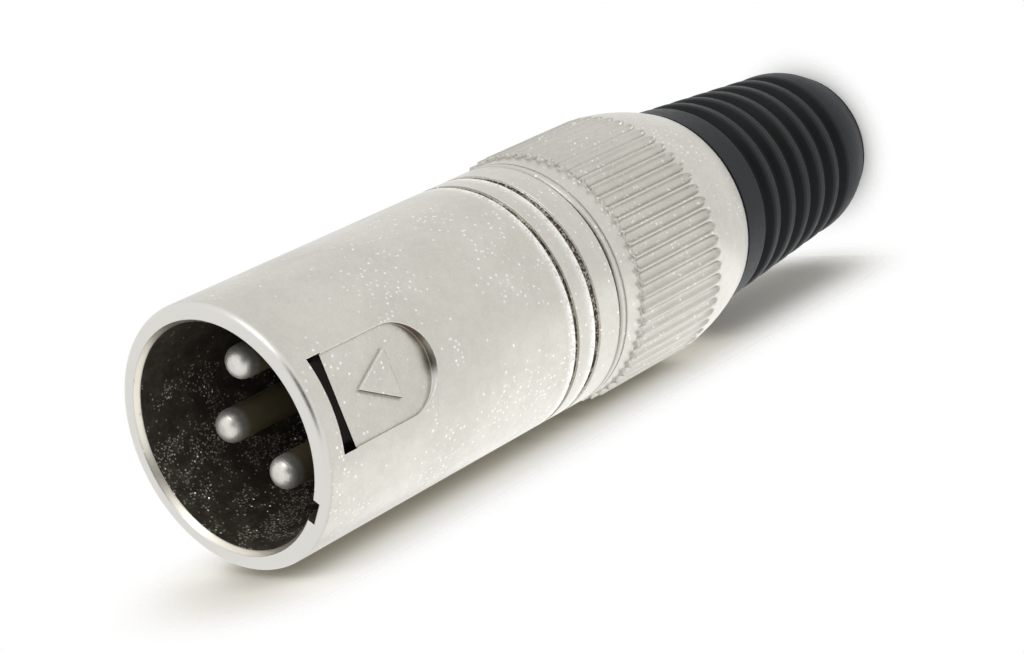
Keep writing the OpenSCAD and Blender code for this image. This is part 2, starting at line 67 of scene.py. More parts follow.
class Wiring:
    """Adds nodes to one node tree and links them."""

    def __init__(self, tree: bpy.types.NodeTree) -> None:
        """Keeps the node tree of a material, a world or a node group."""
        self.tree = tree

    def add(self, kind: str, **settings: object) -> bpy.types.Node:
        """Adds one node.

        Args:
            kind: The node's type name.
            settings: Its properties, by name.

        Returns:
            The new node.
        """
        node = self.tree.nodes.new(kind)
        for name, value in settings.items():
            setattr(node, name, value)
        return node

    def feed(self, target: Socket, value: object) -> None:
        """Links a socket to another, or sets its own value.

        Args:
            target: The input socket.
            value: An output socket, a number, a vector or a colour.
        """
        if isinstance(value, bpy.types.NodeSocket):
            self.tree.links.new(value, target)
        else:
            target.default_value = value

    def math(self, operation: str, *terms: object, clamp: bool = False) -> Socket:
        """Adds a Math node.

        Args:
            operation: The operation's name.
            terms: Its numbers or sockets, in order.
            clamp: Whether the result is kept from 0 to 1.

        Returns:
            The result's socket.
        """
        node = self.add("ShaderNodeMath", operation=operation, use_clamp=clamp)
        for target, term in zip(node.inputs, terms):
            self.feed(target, term)
        return node.outputs[0]

    def product(self, *terms: object) -> Socket:
        """Multiplies two or more numbers.

        Args:
            terms: The numbers or sockets.

        Returns:
            The product's socket.
        """
        result = terms[0]
        for term in terms[1:]:
            result = self.math("MULTIPLY", result, term)
        return result

    def between(self, value: object, low: float, high: float) -> Socket:
        """Returns a socket that is 1 where a value lies from low to high, and 0 elsewhere."""
        return self.math("COMPARE", value, (low + high) / 2, (high - low) / 2)

    def vector(self, operation: str, first: object, second: object = None) -> bpy.types.Node:
        """Adds a Vector Math node.

        Args:
            operation: The operation's name.
            first: The first vector or socket.
            second: The second vector or socket, where the operation has one.

        Returns:
            The node, for its vector or its value output.
        """
        node = self.add("ShaderNodeVectorMath", operation=operation)
        self.feed(node.inputs[0], first)
        if second is not None:
            self.feed(node.inputs[1], second)
        return node

    def here(self) -> Socket:
        """Returns the place on the surface, in the node's own frame."""
        return self.add("ShaderNodeTexCoord").outputs["Object"]

    def scaled(self, vector: Socket, factor: Socket) -> Socket:
        """Makes a vector longer or shorter.

        Args:
            vector: The vector.
            factor: By how much.

        Returns:
            The result's socket.
        """
        node = self.add("ShaderNodeVectorMath", operation="SCALE")
        self.feed(node.inputs[0], vector)
        self.feed(node.inputs["Scale"], factor)
        return node.outputs["Vector"]

    def tilt(self, target: Socket, lean: Socket) -> None:
        """Adds a lean to the normal that already feeds a socket."""
        tilted = self.vector("ADD", target.links[0].from_socket, lean).outputs["Vector"]
        self.feed(target, self.vector("NORMALIZE", tilted).outputs["Vector"])

    def along(self, place: Socket, way: Way) -> Socket:
        """Returns how far a place lies along a direction of length 1."""
        return self.vector("DOT_PRODUCT", place, way).outputs["Value"]

    def from_axis(self, place: Socket) -> Socket:
        """Returns how far a place lies from the plug's axis."""
        flat = self.vector("MULTIPLY", place, (1.0, 1.0, 0.0)).outputs["Vector"]
        return self.vector("LENGTH", flat).outputs["Value"]

    def span(self, value: Socket, low: object, high: object, to_low: object, to_high: object) -> Socket:
        """Maps a value smoothly from one range to another.

        Args:
            value: The socket to map.
            low: Where the first range starts.
            high: Where it ends.
            to_low: The result at low.
            to_high: The result at high.

        Returns:
            The result's socket.
        """
        node = self.add("ShaderNodeMapRange", interpolation_type="SMOOTHSTEP")
        self.feed(node.inputs["Value"], value)
        self.feed(node.inputs["From Min"], low)
        self.feed(node.inputs["From Max"], high)
        self.feed(node.inputs["To Min"], to_low)
        self.feed(node.inputs["To Max"], to_high)
        return node.outputs["Result"]

    def blend(self, share: object, first: object, second: object) -> Socket:
        """Mixes two colours.

        Args:
            share: The share of the second.
            first: The first colour or socket.
            second: The second colour or socket.

        Returns:
            The mixed colour's socket.
        """
        node = self.add("ShaderNodeMix", data_type="RGBA")
        colours = [socket for socket in node.inputs if socket.type == "RGBA"]
        self.feed(node.inputs["Factor"], share)
        self.feed(colours[0], first)
        self.feed(colours[1], second)
        return next(socket for socket in node.outputs if socket.type == "RGBA")

    def cover(self, target: Socket, share: object, colour: object) -> None:
        """Lays a share of a colour over what already feeds a socket."""
        self.feed(target, self.blend(share, target.links[0].from_socket, colour))

    def noise(self, place: Socket, cell: object, detail: float = 3.0) -> Socket:
        """Adds noise whose features are about as large as a cell.

        Args:
            place: The place on the surface, in metres.
            cell: The size of a feature in metres, or a socket that holds it.
            detail: The number of finer octaves.

        Returns:
            The noise value's socket.
        """
        node = self.add("ShaderNodeTexNoise")
        self.feed(node.inputs["Vector"], place)
        self.feed(node.inputs["Scale"], self.math("DIVIDE", 1.0, cell))
        node.inputs["Detail"].default_value = detail
        return node.outputs["Fac"]


class Effect(Enum):
    """The shader effects that more than one finish uses."""

    GRAIN = "surface_grain"
    GLINTS = "plating_glints"
    TONE = "handling_tone"
    SOFT_EDGE = "soft_edge"
    CREVICE = "crevice_shade"


@dataclass
class EffectLibrary:
    """The node groups of the shared effects, each built once.

    Attributes:
        groups: The groups, by effect.
        coarse_cells: How many fine grains lie across a coarse one.
        crowd_span: The noise between which specks go from sparse to crowded.
        crowd: How many times their share of places they then fill.
        dot_span: How far from a speck's middle it starts to fade and ends, as shares of a cell.
        faint: How bright the faintest speck is.
        tone_span: The noise between which the tone goes from none to full.
        edge_span: How well the rounded normal agrees with the flat one on an edge, and off it.
        rag_cell: The size of a crevice's ragged bits.
    """

    groups: dict[Effect, bpy.types.NodeTree] = field(default_factory=dict)
    coarse_cells: float = 5.0
    crowd_span: Span = (0.42, 0.70)
    crowd: Span = (0.1, 2.6)
    dot_span: Span = (0.12, 0.48)
    faint: float = 0.5
    tone_span: Span = (0.3, 0.7)
    edge_span: Span = (0.9, 0.995)
    rag_cell: float = 0.25 * MM

    def build(self) -> None:
        """Builds every group."""
        self.groups[Effect.GRAIN] = self.grain()
        self.groups[Effect.GLINTS] = self.glints()
        self.groups[Effect.TONE] = self.tone()
        self.groups[Effect.SOFT_EDGE] = self.soft_edge()
        self.groups[Effect.CREVICE] = self.crevice()

    def place(self, wiring: Wiring, effect: Effect, **values: object) -> bpy.types.Node:
        """Places an effect in a material.

        Args:
            wiring: The material's tree.
            effect: Which effect.
            values: The inputs' values, by name.

        Returns:
            The group node.
        """
        node = wiring.add("ShaderNodeGroup", node_tree=self.groups[effect])
        for name, value in values.items():
            wiring.feed(node.inputs[name], value)
        return node

    def start(self, effect: Effect, inputs: Inputs,
              outputs: dict[str, str]) -> tuple[Wiring, Socket, Socket]:
        """Starts a group with its named inputs and outputs.

        Args:
            effect: Which effect.
            inputs: Each number input's name and default.
            outputs: Each output's name and socket type.

        Returns:
            The wiring, the group's inputs and the group's outputs.
        """
        tree = bpy.data.node_groups.new(effect.value, "ShaderNodeTree")
        for name, default in inputs.items():
            socket = tree.interface.new_socket(name=name, in_out="INPUT", socket_type="NodeSocketFloat")
            socket.default_value = default
        for name, kind in outputs.items():
            tree.interface.new_socket(name=name, in_out="OUTPUT", socket_type=kind)
        wiring = Wiring(tree)
        entry = wiring.add("NodeGroupInput")
        leave = wiring.add("NodeGroupOutput")
        return wiring, entry.outputs, leave.inputs

    def grain(self) -> bpy.types.NodeTree:
        """Fine grain of two sizes, as a height from 0 to 1."""
        wiring, entry, leave = self.start(
            Effect.GRAIN, {"Cell": 0.2 * MM, "Coarse": 0.4}, {"Height": "NodeSocketFloat"})
        place = wiring.here()
        fine = wiring.noise(place, entry["Cell"])
        coarse = wiring.noise(place, wiring.product(entry["Cell"], self.coarse_cells))
        rest = wiring.math("SUBTRACT", 1.0, entry["Coarse"])
        height = wiring.math("ADD", wiring.product(coarse, entry["Coarse"]), wiring.product(fine, rest))
        wiring.feed(leave["Height"], height)
        return wiring.tree

    def glints(self) -> bpy.types.NodeTree:
        """Clusters of specks that each tilt their own way, with a mask of them and their tilt."""
        wiring, entry, leave = self.start(
            Effect.GLINTS, {"Cell": 0.2 * MM, "Cluster": 4 * MM, "Share": 0.1, "Tilt": 0.3},
            {"Mask": "NodeSocketFloat", "Tilt": "NodeSocketVector"})
        place = wiring.here()
        cells = wiring.add("ShaderNodeTexVoronoi", feature="F1")
        wiring.feed(cells.inputs["Vector"], place)
        wiring.feed(cells.inputs["Scale"], wiring.math("DIVIDE", 1.0, entry["Cell"]))
        lots = wiring.add("ShaderNodeSeparateColor")
        wiring.feed(lots.inputs[0], cells.outputs["Color"])
        crowd = wiring.span(wiring.noise(place, entry["Cluster"]), *self.crowd_span, *self.crowd)
        drawn = wiring.math("LESS_THAN", lots.outputs[0], wiring.product(entry["Share"], crowd))
        dot = wiring.span(cells.outputs["Distance"], *self.dot_span, 1.0, 0.0)
        speck = wiring.product(drawn, dot)
        strength = wiring.span(lots.outputs[1], 0.0, 1.0, self.faint, 1.0)
        wiring.feed(leave["Mask"], wiring.product(speck, strength))
        centred = wiring.vector("SUBTRACT", cells.outputs["Color"], (0.5, 0.5, 0.5)).outputs["Vector"]
        wiring.feed(leave["Tilt"], wiring.scaled(centred, wiring.product(speck, entry["Tilt"])))
        return wiring.tree

    def tone(self) -> bpy.types.NodeTree:
        """Broad, faint variation, as left by handling and plating."""
        wiring, entry, leave = self.start(Effect.TONE, {"Size": 6 * MM}, {"Tone": "NodeSocketFloat"})
        place = wiring.here()
        broad = wiring.noise(place, entry["Size"], detail=4.0)
        wiring.feed(leave["Tone"], wiring.span(broad, *self.tone_span, 0.0, 1.0))
        return wiring.tree

    def soft_edge(self) -> bpy.types.NodeTree:
        """The normal across slightly rounded edges, and a mask of those edges."""
        wiring, entry, leave = self.start(
            Effect.SOFT_EDGE, {"Radius": 0.1 * MM}, {"Normal": "NodeSocketVector", "Edge": "NodeSocketFloat"})
        rounded = wiring.add("ShaderNodeBevel", samples=6)
        wiring.feed(rounded.inputs["Radius"], entry["Radius"])
        flat = wiring.add("ShaderNodeNewGeometry").outputs["Normal"]
        across = wiring.vector("DOT_PRODUCT", rounded.outputs["Normal"], flat).outputs["Value"]
        wiring.feed(leave["Normal"], rounded.outputs["Normal"])
        wiring.feed(leave["Edge"], wiring.span(across, *self.edge_span, 1.0, 0.0))
        return wiring.tree

    def crevice(self) -> bpy.types.NodeTree:
        """A ragged mask of grooves, seams and inner corners by ambient occlusion, for painted shade."""
        wiring, entry, leave = self.start(
            Effect.CREVICE, {"Reach": 0.6 * MM, "Full": 0.4, "Clear": 0.9, "Rag": 0.1},
            {"Shade": "NodeSocketFloat"})
        place = wiring.here()
        near = wiring.add("ShaderNodeAmbientOcclusion", samples=8)
        wiring.feed(near.inputs["Distance"], entry["Reach"])
        uneven = wiring.math("SUBTRACT", wiring.noise(place, self.rag_cell), 0.5)
        clear = wiring.math("ADD", near.outputs["AO"], wiring.product(uneven, entry["Rag"]))
        wiring.feed(leave["Shade"], wiring.span(clear, entry["Full"], entry["Clear"], 1.0, 0.0))
        return wiring.tree


@dataclass(frozen=True)
class Finish:
    """What all finishes share.

    Attributes:
        slot: The record's material slot.
        colour: The base colour.
        toned: The colour where handling or plating has changed it.
        edge: The colour along edges, partly rubbing and partly a painted highlight.
        deep: The colour of the painted shade in grooves and inner corners.
        roughness: The lowest roughness.
        roughness_spread: How much the tone adds to it.
        grain_cell: The size of the grain.
        grain_depth: The height of the grain.
        edge_radius: The rounding of the edges.
        crevice_reach: How far apart the walls of a groove that darkens may stand.
        crevice_span: The openness at which a groove is fully dark, and at which it is clear.
        crevice_rag: How ragged the dark's outline is.
        mottle: The grain's heights between which it mottles the colour.
        rub: The grain's heights between which an edge takes the edge colour, from the least to fully.
        rub_least: That least.
    """

    slot: str
    colour: Colour
    toned: Colour
    edge: Colour
    deep: Colour
    roughness: float
    roughness_spread: float
    grain_cell: float
    grain_depth: float
    edge_radius: float
    crevice_reach: float = 0.6 * MM
    crevice_span: Span = (0.35, 0.92)
    crevice_rag: float = 0.1
    mottle: Span = (0.35, 0.65)
    rub: Span = (0.42, 0.58)
    rub_least: float = 0.25

    def material(self, effects: EffectLibrary, name: str = "") -> bpy.types.Material:
        """Builds the material.

        Args:
            effects: The shared node groups.
            name: Its name, where it isn't the slot's.

        Returns:
            The material.
        """
        made = bpy.data.materials.new(name or self.slot)
        made.use_nodes = True
        wiring = Wiring(made.node_tree)
        shader = surface_of(made)
        tone = effects.place(wiring, Effect.TONE).outputs["Tone"]
        soft = effects.place(wiring, Effect.SOFT_EDGE, Radius=self.edge_radius)
        grain = effects.place(wiring, Effect.GRAIN, Cell=self.grain_cell).outputs["Height"]
        full, clear = self.crevice_span
        shade = effects.place(wiring, Effect.CREVICE, Reach=self.crevice_reach, Full=full, Clear=clear,
                              Rag=self.crevice_rag).outputs["Shade"]
        mottled = wiring.math("ADD", wiring.product(tone, 0.5), wiring.span(grain, *self.mottle, 0.0, 0.5))
        # Edges take the edge colour, partly rubbing and partly a painted highlight.
        highlight_and_wear = wiring.product(soft.outputs["Edge"], wiring.span(grain, *self.rub, self.rub_least, 1.0))
        patterned = wiring.blend(highlight_and_wear, wiring.blend(mottled, self.colour, self.toned), self.edge)
        # Painted shade: grooves and inner corners turn towards the deep colour by ambient occlusion.
        wiring.feed(shader.inputs["Base Color"], wiring.blend(shade, patterned, self.deep))
        rough = self.roughness + self.roughness_spread
        wiring.feed(shader.inputs["Roughness"], wiring.span(mottled, 0.0, 1.0, self.roughness, rough))
        bump = wiring.add("ShaderNodeBump")
        bump.inputs["Strength"].default_value = 1.0
        bump.inputs["Distance"].default_value = self.grain_depth
        wiring.feed(bump.inputs["Height"], grain)
        wiring.feed(bump.inputs["Normal"], soft.outputs["Normal"])
        wiring.feed(shader.inputs["Normal"], bump.outputs["Normal"])
        self.complete(wiring, shader, effects)
        return made

    def complete(self, wiring: Wiring, shader: bpy.types.Node, effects: EffectLibrary) -> None:
        """Adds what only this finish has.

        Args:
            wiring: The material's tree.
            shader: Its surface shader.
            effects: The shared node groups.
        """


@dataclass(frozen=True)
class PlatedMetal(Finish):
    """Plated metal with tilted specks, drawn bright as painted highlights.

    Attributes:
        glint: The colour of a speck, a painted highlight.
        glint_cell: The distance between places where a speck may lie.
        glint_cluster: The size of a cluster of specks.
        glint_share: The share of those places that have one.
        glint_tilt: How far the specks tilt.
    """

    glint: Colour = (0.90, 0.89, 0.86, 1.0)
    glint_cell: float = 0.30 * MM
    glint_cluster: float = 5 * MM
    glint_share: float = 0.15
    glint_tilt: float = 0.3

    def complete(self, wiring: Wiring, shader: bpy.types.Node, effects: EffectLibrary) -> None:
        """Makes it metal and scatters its specks, tilted and drawn bright as painted highlights.

        Args:
            wiring: The material's tree.
            shader: Its surface shader.
            effects: The shared node groups.
        """
        shader.inputs["Metallic"].default_value = 1.0
        specks = effects.place(wiring, Effect.GLINTS, Cell=self.glint_cell, Cluster=self.glint_cluster,
                               Share=self.glint_share, Tilt=self.glint_tilt)
        # Painted highlight: each speck is drawn in the bright glint colour.
        wiring.cover(shader.inputs["Base Color"], specks.outputs["Mask"], self.glint)
        wiring.tilt(shader.inputs["Normal"], specks.outputs["Tilt"])


@dataclass(frozen=True)
class Moulding(Finish):
    """Moulded plastic or rubber, with a plain gloss.

    Attributes:
        gloss: The specular level.
    """

    gloss: float = 0.5

    def complete(self, wiring: Wiring, shader: bpy.types.Node, effects: EffectLibrary) -> None:
        """Sets its gloss."""
        shader.inputs["Specular IOR Level"].default_value = self.gloss


# In these finishes deep is a painted shade, edge partly a painted highlight, and glint a painted highlight.
SATIN_NICKEL = PlatedMetal(
    slot="satin_nickel", colour=rgb(0.645, 0.627, 0.571), toned=rgb(0.555, 0.540, 0.489),
    edge=rgb(0.95, 0.94, 0.91), deep=rgb(0.40, 0.375, 0.32), roughness=0.28, roughness_spread=0.08,
    grain_cell=0.16 * MM, grain_depth=0.003 * MM, edge_radius=0.12 * MM, crevice_span=(0.70, 0.90),
    crevice_rag=0.40)
FLUTED_NICKEL = replace(
    SATIN_NICKEL, deep=rgb(0.47, 0.455, 0.41), edge=rgb(0.66, 0.645, 0.59), edge_radius=0.34 * MM,
    crevice_span=(0.55, 0.98), crevice_rag=0.1)
PLATED_CONTACT = PlatedMetal(
    slot="plated_contact", colour=rgb(0.84, 0.83, 0.79), toned=rgb(0.70, 0.68, 0.62),
    edge=rgb(0.84, 0.83, 0.80), deep=rgb(0.10, 0.08, 0.05), roughness=0.32, roughness_spread=0.14,
    grain_cell=0.12 * MM, grain_depth=0.002 * MM, edge_radius=0.05 * MM, glint_share=0.06)
SPRING_BRONZE = PlatedMetal(
    slot="spring_bronze", colour=rgb(0.62, 0.45, 0.22), toned=rgb(0.50, 0.35, 0.16),
    edge=rgb(0.78, 0.62, 0.36), deep=rgb(0.12, 0.08, 0.04), roughness=0.26, roughness_spread=0.10,
    grain_cell=0.12 * MM, grain_depth=0.002 * MM, edge_radius=0.04 * MM, glint=rgb(0.86, 0.70, 0.44),
    glint_share=0.05)
BLACK_MOULDING = Moulding(
    slot="black_moulding", colour=rgb(0.014, 0.013, 0.012), toned=rgb(0.020, 0.019, 0.018),
    edge=rgb(0.03, 0.03, 0.03), deep=rgb(0.008, 0.008, 0.007), roughness=0.50, roughness_spread=0.12,
    grain_cell=0.12 * MM, grain_depth=0.005 * MM, edge_radius=0.08 * MM, gloss=0.3)
WHITE_MOULDING = Moulding(
    slot="white_moulding", colour=rgb(0.78, 0.77, 0.73), toned=rgb(0.71, 0.70, 0.66),
    edge=rgb(0.84, 0.83, 0.80), deep=rgb(0.45, 0.43, 0.38), roughness=0.42, roughness_spread=0.10,
    grain_cell=0.14 * MM, grain_depth=0.005 * MM, edge_radius=0.10 * MM)
BLACK_RUBBER = Moulding(
    slot="black_rubber", colour=rgb(0.0100, 0.0130, 0.0155), toned=rgb(0.0145, 0.0175, 0.0200),
    edge=rgb(0.022, 0.024, 0.027), deep=rgb(0.0005, 0.0006, 0.0008), roughness=0.42, roughness_spread=0.14,
    grain_cell=0.10 * MM, grain_depth=0.003 * MM, edge_radius=0.18 * MM, crevice_reach=1.8 * MM,
    crevice_span=(0.82, 0.985), gloss=0.2)


def dress(node: str, made: bpy.types.Material) -> None:
    """Gives a CAD node its material.

    Args:
        node: The node's name.
        made: The material.
    """
    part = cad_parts[node]
    part.data.materials.clear()
    part.data.materials.append(made)
    LOG.info("%s dressed in %s", node, made.name)


@dataclass
class ShellSurface:
    """What the masks on the shell are worked out from.

    Attributes:
        wiring: The material's tree.
        place: The place on the surface.
        out: Its distance from the axis.
        up: Its height.
        outside: The shell's outer radius.
        rim: The rim's height.
    """

    wiring: Wiring
    place: Socket
    out: Socket
    up: Socket
    outside: float
    rim: float


@dataclass
class Shell:
    """The die-cast shell, plated, with dull, dark painted shade in its socket.

    Attributes:
        wall: Wall round the socket.
        socket_depth: Depth of the socket.
        mouth_chamfer: Height of the chamfer at its mouth.
        rim_band: How far the rim's brightening, rubbing and painted highlight, reaches down.
        window_at: Place of the window's front edge, back from the rim.
        window_len: Length of the window along the axis.
        window_w: Width of the window.
        keyway_angle: Angle of the keyway from the latch window.
        keyway_w: Width of the keyway.
        keyway_depth: Its depth in the socket's wall.
        keyway_len: Its length.
        grooves: Heights of the turned grooves, each with half its width.
        core: Where the painted shade lies across a groove, as shares of half its width.
        joint: Heights between which the joint with the collar gets painted shade.
        joint_crevice: The crevice in which it is.
        groove_shade: Colour of the painted shade in the grooves and the joint.
        lip_w: Width of the band of painted highlights along a groove's upper lip.
        lip_highlight: Colour of its grains, painted highlights.
        lip_rough: Their pattern.
        lip_span: The pattern's heights between which the lip turns bright.
        dark_span: The pattern's heights between which the painted shade in the grooves thins out.
        dark_least: How dark it stays there.
        recess_w: Width of the thumb recess.
        recess_end: Place of its end, back from the rim.
        lit_facing: The side that the walls of the recess and of the arrow face where light is painted on
            them.
        shaded_facing: The side that they face where shade is painted on them.
        wall_light: Colour of the painted light on those walls.
        wall_shade: Colour of the painted shade on the others.
        wall_metallic: How much less metallic the bright ones look.
        wall_span: How squarely a wall has to face its side, from not at all to fully.
        margin: How far a painted area reaches past the faces that it covers.
        glitter_side: The side of the socket on which its painted glints crowd most.
        glitter_reach: How far to that side the glitter is at its fullest.
        glitter_share: The least and the largest share of places with a speck.
        specks: How those places lie and how far the specks tilt.
        socket_mottle: The random pattern that makes the socket's painted shade paler in places.
        socket_mottle_span: The pattern's heights between which that painted shade turns paler.
        socket_shade: Colour of the painted shade in the socket and the keyway.
        socket_shade_pale: Its paler colour.
        socket_glint: Colour of the metal specks in it, painted glints.
        socket_shade_roughness: The roughness of that painted shade.
        window_dark: Colour of the window's cut faces, a painted shade.
        highlight_and_wear: Colour of the rim band, brightened partly by rubbing from plugging in and partly
            as a painted highlight.
        warm_highlight_and_wear: Colour of its chamfer, warmer, with the same rubbing and painted highlight.
    """

    wall: float = 1.4 * MM
    socket_depth: float = 14.8 * MM
    mouth_chamfer: float = 0.48 * MM
    rim_band: float = 0.55 * MM
    window_at: float = 1.8 * MM
    window_len: float = 1.2 * MM
    window_w: float = 6.56 * MM
    keyway_angle: float = 45.7
    keyway_w: float = 1.75 * MM
    keyway_depth: float = 0.8 * MM
    keyway_len: float = 12 * MM
    grooves: tuple[tuple[float, float], ...] = ((41.5 * MM, 0.35 * MM), (43.9 * MM, 0.25 * MM))
    core: Span = (-0.8, 0.25)
    joint: Span = (38.6 * MM, 39.2 * MM)
    joint_crevice: Inputs = setting(Reach=0.6 * MM, Full=0.74, Clear=0.95, Rag=0.45)
    groove_shade: Colour = (0.06, 0.042, 0.03, 1.0)
    lip_w: float = 0.9 * MM
    lip_highlight: Colour = (0.98, 0.97, 0.94, 1.0)
    lip_rough: Inputs = setting(Cell=0.16 * MM, Coarse=0.35)
    lip_span: Span = (0.43, 0.50)
    dark_span: Span = (0.46, 0.62)
    dark_least: float = 0.25
    recess_w: float = 6.5 * MM
    recess_end: float = 11.85 * MM
    lit_facing: Way = (0.75, 0.0, 0.66)
    shaded_facing: Way = (-0.75, 0.0, 0.66)
    wall_light: Colour = (0.98, 0.97, 0.95, 1.0)
    wall_shade: Colour = (0.20, 0.15, 0.125, 1.0)
    wall_metallic: float = 0.6
    wall_span: Span = (0.78, 0.95)
    margin: float = 0.02 * MM
    glitter_side: Way = (-0.74, 0.67, 0.0)
    glitter_reach: float = 8 * MM
    glitter_share: Span = (0.06, 1.0)
    specks: Inputs = setting(Cell=0.21 * MM, Cluster=2.5 * MM, Tilt=1.3)
    socket_mottle: Inputs = setting(Cell=0.25 * MM, Coarse=0.5)
    socket_mottle_span: Span = (0.38, 0.66)
    socket_shade: Colour = (0.024, 0.019, 0.012, 1.0)
    socket_shade_pale: Colour = (0.058, 0.049, 0.036, 1.0)
    socket_glint: Colour = (1.0, 0.94, 0.83, 1.0)
    socket_shade_roughness: float = 0.6
    window_dark: Colour = (0.008, 0.007, 0.006, 1.0)
    highlight_and_wear: Colour = (0.70, 0.69, 0.655, 1.0)
    warm_highlight_and_wear: Colour = (0.92, 0.86, 0.74, 1.0)

    def dress(self, effects: EffectLibrary) -> None:
        """Dresses the shell.

        Args:
            effects: The shared node groups.
        """
        made = SATIN_NICKEL.material(effects, "satin_nickel_socket_shaded")
        wiring = Wiring(made.node_tree)
        base = surface_of(made).inputs["Base Color"]
        place = wiring.here()
        outside, _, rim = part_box("shell")[1]
        at = ShellSurface(wiring, place, out=wiring.from_axis(place), up=wiring.along(place, AXIS),
                          outside=outside, rim=rim)
        # Painted highlight, partly also rubbing: the rim band is drawn brighter and its chamfer warmer.
        band = wiring.span(at.up, rim - self.rim_band, rim - self.rim_band / 2, 0.0, 1.0)
        wiring.cover(base, band, self.highlight_and_wear)
        mouth = wiring.between(at.out, 0.0, outside - self.wall + self.mouth_chamfer / 2)
        wiring.cover(base, wiring.product(band, mouth), self.warm_highlight_and_wear)
        self.turned_grooves(at, effects, base)
        # Painted shade: the socket, the keyway and the window are drawn dark and dull, with metal specks as
        # painted glints, crowded on one side.
        window = self.window(at)
        inside = wiring.math("MAXIMUM", self.socket(at), wiring.math("MAXIMUM", window, self.keyway(at)))
        side = wiring.along(place, self.glitter_side)
        share = wiring.span(side, 0.0, self.glitter_reach, *self.glitter_share)
        specks = effects.place(wiring, Effect.GLINTS, Share=share, **self.specks)
        patterned = effects.place(wiring, Effect.GRAIN, **self.socket_mottle).outputs["Height"]
        mottled_shade = wiring.blend(wiring.span(patterned, *self.socket_mottle_span, 0.0, 1.0), self.socket_shade, self.socket_shade_pale)
        wiring.cover(base, inside, wiring.blend(specks.outputs["Mask"], mottled_shade, self.socket_glint))
        # Painted shade: the window's cut faces are drawn near black.
        wiring.cover(base, window, self.window_dark)
        self.dull(wiring, made, specks, wiring.math("SUBTRACT", inside, window, clamp=True))
        # Painted light and shade on the walls of the recess and the arrow, by the way each faces.
        recess = wiring.math("SUBTRACT", self.recess(at), inside, clamp=True)
        self.recess_walls(wiring, made, recess)
        dress("shell", made)

    def turned_grooves(self, at: ShellSurface, effects: EffectLibrary, base: Socket) -> None:
        """Paints shade into the grooves and the joint, and bright grains of painted highlight along the
        grooves' upper lips.

        Args:
            at: The shell's surface.
            effects: The shared node groups.
            base: The shader's base colour.
        """
        wiring, up = at.wiring, at.up
        rough = effects.place(wiring, Effect.GRAIN, **self.lip_rough).outputs["Height"]
        bright = wiring.span(rough, *self.lip_span, 0.0, 1.0)
        dark = wiring.span(rough, *self.dark_span, 1.0, self.dark_least)
        deep = effects.place(wiring, Effect.CREVICE, **self.joint_crevice).outputs["Shade"]
        # Painted shade in the joint with the collar, by ambient occlusion.
        seam = wiring.product(wiring.between(up, *self.joint), deep, dark)
        wiring.cover(base, seam, self.groove_shade)
        for middle, half in self.grooves:
            low, high = (middle + half * share for share in self.core)
            # Painted shade in each groove's core.
            wiring.cover(base, wiring.product(wiring.between(up, low, high), dark), self.groove_shade)
            # Painted highlight: bright grains along each groove's upper lip.
            near = wiring.span(up, high, middle + half + self.lip_w, 1.0, 0.0)
            above = wiring.math("GREATER_THAN", up, high)
            wiring.cover(base, wiring.product(near, above, bright), self.lip_highlight)

    def latch_side(self, at: ShellSurface, width: float, low: float, high: float) -> Socket:
        """Masks a rectangle on the shell's latch side.

        Args:
            at: The shell's surface.
            width: The rectangle's width.
            low: The height at which it starts.
            high: The height at which it ends.

        Returns:
            The mask's socket.
        """
        wiring, half = at.wiring, width / 2 + self.margin
        wide = wiring.between(wiring.along(at.place, (1.0, 0.0, 0.0)), -half, half)
        front = wiring.math("LESS_THAN", wiring.along(at.place, (0.0, 1.0, 0.0)), 0.0)
        return wiring.product(wide, wiring.between(at.up, low, high), front)

    def recess(self, at: ShellSurface) -> Socket:
        """Masks the thumb recess and the arrow in it."""
        end = at.rim - self.recess_end - self.margin
        return self.latch_side(at, self.recess_w, end, at.rim - self.window_at)

    def window(self, at: ShellSurface) -> Socket:
        """Masks the cut faces of the latch window."""
        top = at.rim - self.window_at + self.margin
        return self.latch_side(at, self.window_w, top - self.window_len - 2 * self.margin, top)

    def recess_walls(self, wiring: Wiring, made: bpy.types.Material, recess: Socket) -> None:
        """Paints light on the recess's and the arrow's walls that face one side, and shade on those that face
        the other.

        Args:
            wiring: The material's tree.
            made: The material.
            recess: The recess's mask.
        """
        surface = surface_of(made).inputs
        facing = wiring.add("ShaderNodeNewGeometry").outputs["Normal"]
        # Painted light on the walls that face one side, painted shade on those that face the other.
        bright, dark = (
            wiring.product(recess, wiring.span(wiring.along(facing, side), *self.wall_span, 0.0, 1.0))
            for side in (self.lit_facing, self.shaded_facing))
        wiring.cover(surface["Base Color"], bright, self.wall_light)
        wiring.cover(surface["Base Color"], dark, self.wall_shade)
        metal = surface["Metallic"].links[0].from_socket
        less = wiring.product(bright, self.wall_metallic)
        wiring.feed(surface["Metallic"], wiring.math("SUBTRACT", metal, less))

    def dull(self, wiring: Wiring, made: bpy.types.Material, specks: bpy.types.Node, inside: Socket) -> None:
        """Makes the socket's painted shade dull, and tilts its specks so that some of them catch the light.

        Args:
            wiring: The material's tree.
            made: The material.
            specks: The placed effect.
            inside: The mask of the socket's painted shade, without the window.
        """
        surface = surface_of(made).inputs
        bare = wiring.math("SUBTRACT", 1.0, specks.outputs["Mask"])
        dull = wiring.product(inside, bare)
        wiring.feed(surface["Metallic"], wiring.math("SUBTRACT", 1.0, dull))
        under = surface["Roughness"].links[0].from_socket
        rough = wiring.product(dull, self.socket_shade_roughness)
        wiring.feed(surface["Roughness"], wiring.math("MAXIMUM", under, rough))
        wiring.tilt(surface["Normal"], wiring.scaled(specks.outputs["Tilt"], inside))

